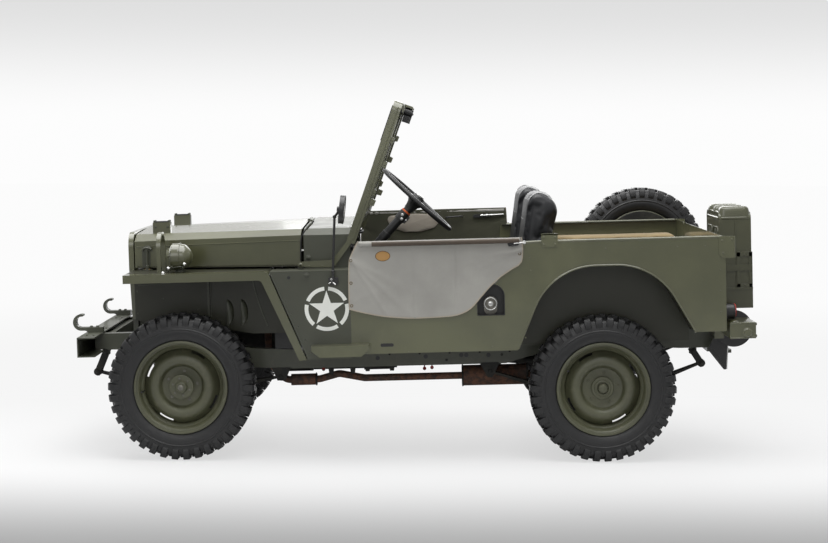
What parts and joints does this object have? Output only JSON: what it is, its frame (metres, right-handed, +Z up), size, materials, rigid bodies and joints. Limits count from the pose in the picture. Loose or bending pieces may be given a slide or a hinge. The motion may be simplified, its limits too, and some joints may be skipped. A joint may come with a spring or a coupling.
{
  "type": "open four wheel drive field car",
  "caption": "Open field car on four driven wheels, with folding windscreen, hinged hood, canvas half doors, drop tailgate with fuel can and side spare wheel.",
  "frame": {"origin": "on the ground under the middle of the whole car's box", "axes": "+X forward, +Y the car's left, +Z up"},
  "size_m": [3.3739, 1.8, 1.7373],
  "materials": {
    "olive": "satin olive paint",
    "dark_olive": "satin dark olive paint",
    "wheel_green": "satin green paint",
    "underbody": "dark matt",
    "tyre": "matt",
    "black": "matt",
    "canvas": "grey canvas",
    "seat": "dark grey vinyl",
    "tan": "tan canvas",
    "glass": "clear",
    "steel": "worn",
    "lamp": "bright",
    "exhaust": "rusty"
  },
  "bodies": {
    "chassis": {"frame": "dark_olive", "front_bumper": "dark_olive", "grille": "olive", "headlamps": "lamp", "radiator": "underbody", "engine": "underbody", "fender_left": "olive", "fender_right": "olive", "cowl": "dark_olive", "floor": "olive", "side_left": "olive", "side_right": "olive", "rear_panel": "olive", "bumperettes": "olive", "tow_hook": "steel", "tail_lamps": "black", "seat_left": "seat", "seat_right": "seat", "seat_bases": "dark_olive", "bench_cushions": "tan", "foot_steps": "olive", "filler": "dark_olive", "mirror": "dark_olive", "blackout_lamp": "olive", "steering_column": "black", "axle_front": "underbody", "axle_rear": "underbody", "springs_front": "underbody", "springs_rear": "underbody", "drive_shafts": "underbody", "exhaust": "exhaust", "spare_tyre": "tyre", "spare_rim": "wheel_green", "spare_carrier": "olive"},
    "hood": {"hood": "olive"},
    "windscreen": {"windshield": "olive", "windshield_glass": "glass", "wipers": "black"},
    "tailgate": {"tailgate": "olive", "can_carrier": "olive", "fuel_can": "olive"},
    "door_left": {"door_left": "canvas"},
    "door_right": {"door_right": "canvas"},
    "steer_left": {"knuckle_left": "underbody"},
    "steer_right": {"knuckle_right": "underbody"},
    "wheel_fl": {"tyre_fl": "tyre", "rim_fl": "wheel_green"},
    "wheel_fr": {"tyre_fr": "tyre", "rim_fr": "wheel_green"},
    "wheel_rl": {"tyre_rl": "tyre", "rim_rl": "wheel_green"},
    "wheel_rr": {"tyre_rr": "tyre", "rim_rr": "wheel_green"},
    "bellcrank": {"bellcrank": "underbody"},
    "drag_link": {"drag_link": "underbody"},
    "tie_rod": {"tie_rod": "underbody"},
    "pitman_arm": {"pitman_arm": "underbody"},
    "steering_wheel": {"steering_wheel": "black"}
  },
  "joints": [
    {"name": "steer_left", "type": "hinge", "parent": "chassis", "child": "steer_left", "pos_m": [1.105, 0.53, 0.354], "axis": [0, 0, 1], "range_deg": [-25, 25]},
    {"name": "steer_right", "type": "hinge", "parent": "chassis", "child": "steer_right", "pos_m": [1.105, -0.53, 0.354], "axis": [0, 0, 1], "range_deg": [-25, 25]},
    {"name": "spin_fl", "type": "hinge", "parent": "steer_left", "child": "wheel_fl", "pos_m": [1.105, 0.622, 0.354], "axis": [0, 1, 0], "continuous": true},
    {"name": "spin_fr", "type": "hinge", "parent": "steer_right", "child": "wheel_fr", "pos_m": [1.105, -0.622, 0.354], "axis": [0, 1, 0], "continuous": true},
    {"name": "spin_rl", "type": "hinge", "parent": "chassis", "child": "wheel_rl", "pos_m": [-0.927, 0.622, 0.354], "axis": [0, 1, 0], "continuous": true},
    {"name": "spin_rr", "type": "hinge", "parent": "chassis", "child": "wheel_rr", "pos_m": [-0.927, -0.622, 0.354], "axis": [0, 1, 0], "continuous": true},
    {"name": "crank_turn", "type": "hinge", "parent": "chassis", "child": "bellcrank", "pos_m": [1.105, 0.18, 0.4], "axis": [0, 0, 1], "range_deg": [-25, 25]},
    {"name": "link_turn", "type": "hinge", "parent": "bellcrank", "child": "drag_link", "pos_m": [1.105, 0.29, 0.4573], "axis": [0, 0, 1], "range_deg": [-25, 25]},
    {"name": "tie_turn", "type": "hinge", "parent": "steer_left", "child": "tie_rod", "pos_m": [0.965, 0.498, 0.4], "axis": [0, 0, 1], "range_deg": [-25, 25]},
    {"name": "pitman_turn", "type": "hinge", "parent": "chassis", "child": "pitman_arm", "pos_m": [0.63582, 0.31, 0.56731], "axis": [0, 1, 0], "range_deg": [-25, 25]},
    {"name": "steering_wheel_turn", "type": "hinge", "parent": "chassis", "child": "steering_wheel", "pos_m": [-0.02727, 0.345, 1.24798], "axis": [-0.6665, 0, 0.7455], "range_deg": [-300, 300]},
    {"name": "hood_lift", "type": "hinge", "parent": "chassis", "child": "hood", "pos_m": [0.53045, 0, 1.12938], "axis": [0, 1, 0], "range_deg": [-100, 0]},
    {"name": "screen_fold", "type": "hinge", "parent": "chassis", "child": "windscreen", "pos_m": [0.5309, 0, 0.94229], "axis": [0, 1, 0], "range_deg": [0, 106.5]},
    {"name": "gate_drop", "type": "hinge", "parent": "chassis", "child": "tailgate", "pos_m": [-1.50796, 0, 0.67365], "axis": [0, -1, 0], "range_deg": [0, 90]},
    {"name": "door_left_swing", "type": "hinge", "parent": "chassis", "child": "door_left", "pos_m": [0.29641, 0.7463, 0.92924], "axis": [-0.0297, 0, -0.9996], "range_deg": [0, 75]},
    {"name": "door_right_swing", "type": "hinge", "parent": "chassis", "child": "door_right", "pos_m": [0.29641, -0.7463, 0.92924], "axis": [0.0297, 0, 0.9996], "range_deg": [0, 75]}
  ],
  "couplings": [
    {"joint": "steer_right", "follows": "steer_left", "ratio": 1},
    {"joint": "crank_turn", "follows": "steer_left", "ratio": 1},
    {"joint": "link_turn", "follows": "steer_left", "ratio": -1},
    {"joint": "tie_turn", "follows": "steer_left", "ratio": -1},
    {"joint": "pitman_turn", "follows": "steer_left", "ratio": 1},
    {"joint": "steering_wheel_turn", "follows": "steer_left", "ratio": 12}
  ]
}
